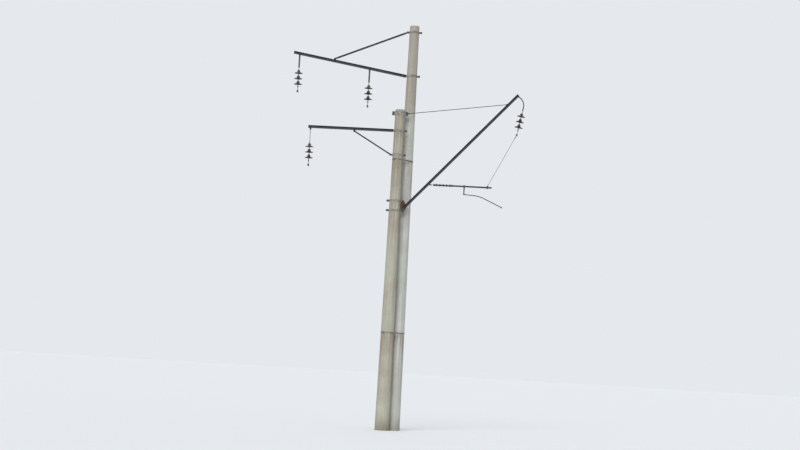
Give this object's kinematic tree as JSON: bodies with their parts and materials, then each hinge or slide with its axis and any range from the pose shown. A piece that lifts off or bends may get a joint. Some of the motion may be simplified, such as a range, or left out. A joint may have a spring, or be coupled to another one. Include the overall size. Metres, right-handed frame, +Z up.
{
  "type": "railway catenary mast",
  "caption": "Paired tapered concrete railway mast with a cantilever, hanging catenary frame and steady arm, and field brackets with disc insulator strings.",
  "frame": {"origin": "centre of the short pole's foot at ground level", "axes": "+X across to the track, +Y along the track towards the tall pole's side, +Z up"},
  "size_m": [7.159, 0.8554, 12.27],
  "materials": {
    "pole_concrete": "weathered spun concrete",
    "tall_pole_concrete": "weathered spun concrete",
    "cap_mortar": "rough mortar",
    "black_steel": "weathered dark paint",
    "weathered_steel": "brown weathered paint",
    "rusty_steel": "rusty",
    "galvanised_iron": "dull weathered zinc",
    "galvanised_tube": "dull weathered zinc",
    "stranded_steel": "stranded wire",
    "dark_porcelain": "brown glaze",
    "green_porcelain": "green-grey glaze",
    "bronze_clamp": "dull bronze"
  },
  "bodies": {
    "mast": {"short_pole": "pole_concrete", "tall_pole": "tall_pole_concrete", "pole_caps": "cap_mortar", "short_pole_bands": "black_steel", "tall_pole_bands": "black_steel", "twin_pole_straps": "weathered_steel", "cantilever_foot_bracket": "rusty_steel", "cantilever_channels": "black_steel", "cantilever_plates": "black_steel", "tie_rod": "black_steel", "tip_hook": "rusty_steel", "registration_bracket": "rusty_steel", "lower_boom_channels": "black_steel", "lower_boom_plates": "black_steel", "lower_strut": "black_steel", "top_boom_channels": "black_steel", "top_boom_plates": "black_steel", "top_tie": "black_steel"},
    "hanging_frame": {"main_string_fittings": "galvanised_iron", "hanging_frame_insulators": "dark_porcelain", "messenger_clamp": "galvanised_iron", "registration_end_fittings": "galvanised_iron", "registration_tube": "galvanised_tube", "stay_wires": "stranded_steel", "registration_tube_clamps": "galvanised_iron"},
    "steady_arm": {"steady_arm": "galvanised_tube", "contact_wire_clamp": "bronze_clamp"},
    "lower_string": {"lower_string_link": "galvanised_iron", "lower_string_fittings": "galvanised_iron", "lower_string_discs": "dark_porcelain", "lower_string_clamp": "galvanised_iron"},
    "feeder_tip_string": {"feeder_tip_link": "galvanised_iron", "feeder_tip_fittings": "galvanised_iron", "feeder_tip_discs": "green_porcelain", "feeder_tip_clamp": "galvanised_iron"},
    "feeder_mid_string": {"feeder_mid_link": "galvanised_iron", "feeder_mid_fittings": "galvanised_iron", "feeder_mid_discs": "dark_porcelain", "feeder_mid_clamp": "galvanised_iron"}
  },
  "joints": [
    {"name": "hanging_frame_swing", "type": "hinge", "parent": "mast", "child": "hanging_frame", "pos_m": [3.68, 0, 9.775], "axis": [0.7405, 0, 0.6721], "range_deg": [-20, 20]},
    {"name": "steady_arm_lift", "type": "hinge", "parent": "hanging_frame", "child": "steady_arm", "pos_m": [2.05, 0, 7.15], "axis": [0, -1, 0], "range_deg": [0, 15]},
    {"name": "lower_string_swing", "type": "hinge", "parent": "mast", "child": "lower_string", "pos_m": [-2.68, 0, 8.9075], "axis": [0, 1, 0], "range_deg": [-35, 35]},
    {"name": "feeder_tip_string_swing", "type": "hinge", "parent": "mast", "child": "feeder_tip_string", "pos_m": [-3.2, 0.40154, 11.20163], "axis": [0, 1, 0], "range_deg": [-35, 35]},
    {"name": "feeder_mid_string_swing", "type": "hinge", "parent": "mast", "child": "feeder_mid_string", "pos_m": [-1.03, 0.40154, 10.83581], "axis": [0, 1, 0], "range_deg": [-35, 35]}
  ]
}
